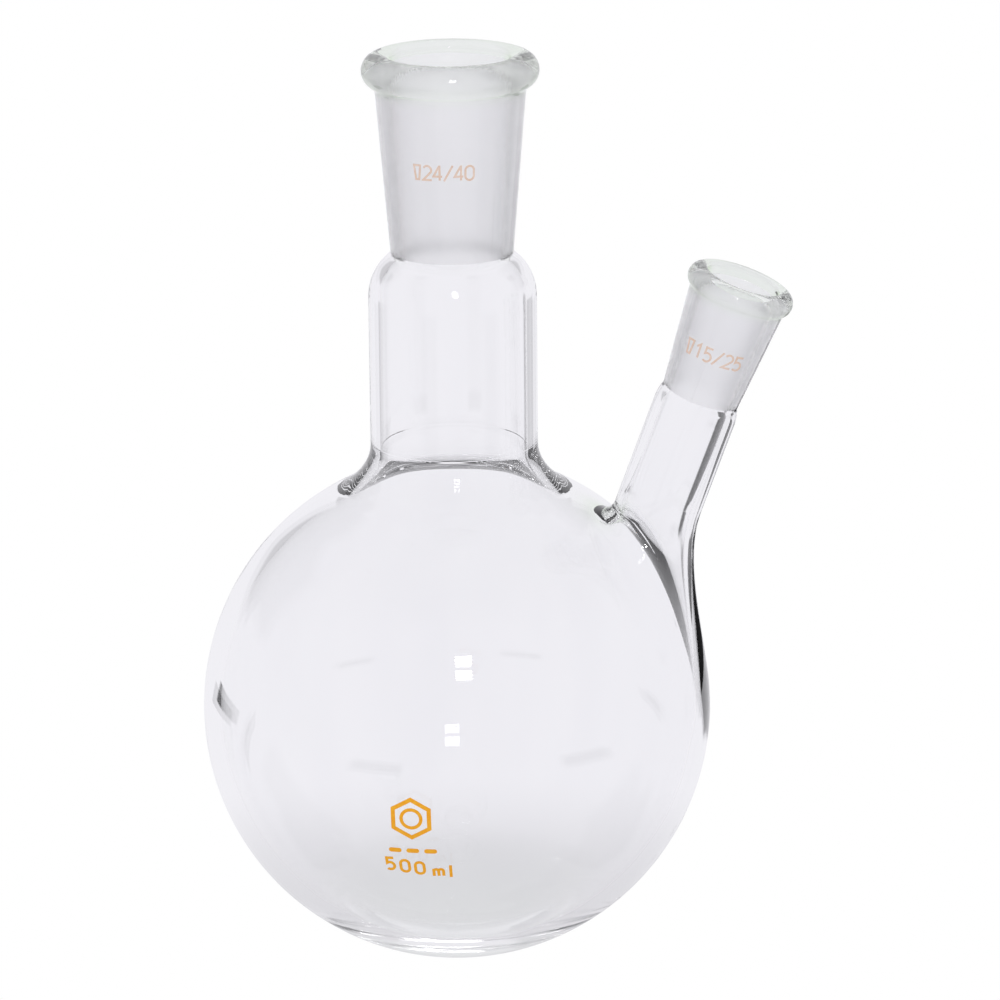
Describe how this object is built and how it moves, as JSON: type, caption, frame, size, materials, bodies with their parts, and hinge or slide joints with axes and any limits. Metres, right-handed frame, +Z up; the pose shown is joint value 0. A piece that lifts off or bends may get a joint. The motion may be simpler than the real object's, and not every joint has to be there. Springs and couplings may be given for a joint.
{
  "type": "two-neck round-bottom flask",
  "caption": "Round-bottomed laboratory flask of clear glass with an upright centre neck and a leaning side neck, both ending in ground taper sockets.",
  "frame": {"origin": "the lowest point of the bulb, where it sits in a cork ring or heating mantle", "axes": "+Z up the centre neck's axis, the side neck leans 20 degrees towards +X, the enamel marks face -Y"},
  "size_m": [0.1221, 0.105, 0.19],
  "materials": {
    "clear_glass": "clear, fire-polished borosilicate",
    "ground_glass": "borosilicate with a fine-ground bore and a fire-polished outside",
    "tan_enamel": "thin fired enamel print",
    "amber_enamel": "fired enamel print"
  },
  "bodies": {
    "root": {"bulb": "clear_glass", "centre_neck": "clear_glass", "side_neck": "clear_glass", "centre_joint": "ground_glass", "side_joint": "ground_glass", "centre_joint_mark": "tan_enamel", "side_joint_mark": "tan_enamel", "capacity_mark": "amber_enamel", "emblem_mark": "amber_enamel"}
  },
  "joints": []
}
